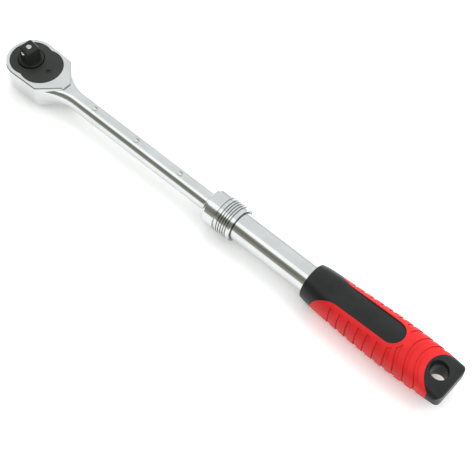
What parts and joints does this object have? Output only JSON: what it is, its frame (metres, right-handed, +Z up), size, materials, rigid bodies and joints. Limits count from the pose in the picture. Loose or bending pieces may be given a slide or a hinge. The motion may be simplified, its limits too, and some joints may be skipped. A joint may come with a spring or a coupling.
{
  "type": "extendable ratchet handle",
  "caption": "Telescopic reversible ratchet handle with a half inch square drive, quick release, sliding lock collar and a two-tone moulded grip with a hanging hole.",
  "frame": {"origin": "on the axis of the drive square, at the height of the shank axis", "axes": "+X along the tool from the drive to the grip end, +Z up the drive square away from the reverse lever, +Y to complete a right-handed frame"},
  "size_m": [0.445, 0.0416, 0.0407],
  "materials": {
    "chrome": "bright chrome plate over forged chrome vanadium steel",
    "black_oxide": "black oxide steel, satin",
    "black_plate": "satin black finished steel plate",
    "bare_steel": "ground bare steel",
    "spring_steel": "oiled spring steel",
    "tool_steel": "hardened tool steel, greased",
    "black_plastic": "hard moulded plastic, fine satin texture",
    "red_grip": "soft moulded elastomer, satin"
  },
  "bodies": {
    "head": {"ratchet_head": "chrome", "cover_plate": "black_plate", "cover_screw": "black_oxide", "pawl_pin": "tool_steel", "shank_stop_ring": "bare_steel", "shank_circlip": "spring_steel"},
    "drive": {"drive_gear": "black_oxide", "release_spring": "spring_steel"},
    "release": {"release_rod": "bare_steel"},
    "socket_detent": {"socket_ball": "bare_steel"},
    "pawl": {"pawl": "tool_steel"},
    "lever": {"reverse_lever": "chrome", "plunger_spring": "spring_steel"},
    "plunger": {"lever_plunger": "bare_steel"},
    "handle": {"outer_tube": "chrome", "front_bush": "bare_steel", "tube_plug": "bare_steel", "tube_snap_ring": "spring_steel", "collar_spring": "spring_steel", "grip_core": "black_plastic", "grip_sleeve": "red_grip"},
    "collar": {"locking_collar": "chrome", "collar_end_ring": "chrome"},
    "lock": {"lock_ball": "bare_steel"}
  },
  "joints": [
    {"name": "drive_spin", "type": "hinge", "parent": "head", "child": "drive", "pos_m": [0, 0, 0], "axis": [0, 0, 1], "continuous": true},
    {"name": "release_press", "type": "slide", "parent": "drive", "child": "release", "axis": [0, 0, 1], "range_m": [0, 0.0025], "stiffness_N_per_m": 600, "springref_m": -0.003, "deforming": ["release_spring"]},
    {"name": "socket_ball_slide", "type": "slide", "parent": "drive", "child": "socket_detent", "axis": [-0.0872, -0.9962, 0], "range_m": [-0.00095, 0]},
    {"name": "lever_turn", "type": "hinge", "parent": "head", "child": "lever", "pos_m": [0.0315, 0, 0], "axis": [0, 0, 1], "range_deg": [-60, 0]},
    {"name": "plunger_slide", "type": "slide", "parent": "lever", "child": "plunger", "axis": [-0.866, -0.5, 0], "range_m": [-0.0006, 0], "stiffness_N_per_m": 400, "springref_m": 0.002, "deforming": ["plunger_spring"]},
    {"name": "pawl_rock", "type": "hinge", "parent": "head", "child": "pawl", "pos_m": [0.0202, 0, 0], "axis": [0, 0, 1], "range_deg": [0, 7]},
    {"name": "handle_extend", "type": "slide", "parent": "head", "child": "handle", "axis": [1, 0, 0], "range_m": [-0.14, 0]},
    {"name": "collar_slide", "type": "slide", "parent": "handle", "child": "collar", "axis": [1, 0, 0], "range_m": [-0.003, 0], "deforming": ["collar_spring"]},
    {"name": "lock_ball_drop", "type": "slide", "parent": "handle", "child": "lock", "axis": [0, 0, 1], "range_m": [-0.00148, 0]}
  ],
  "couplings": [
    {"joint": "socket_ball_slide", "follows": "release_press", "ratio": -0.38},
    {"joint": "pawl_rock", "follows": "lever_turn", "ratio": -0.11666},
    {"joint": "lock_ball_drop", "follows": "collar_slide", "ratio": 0.4933}
  ]
}
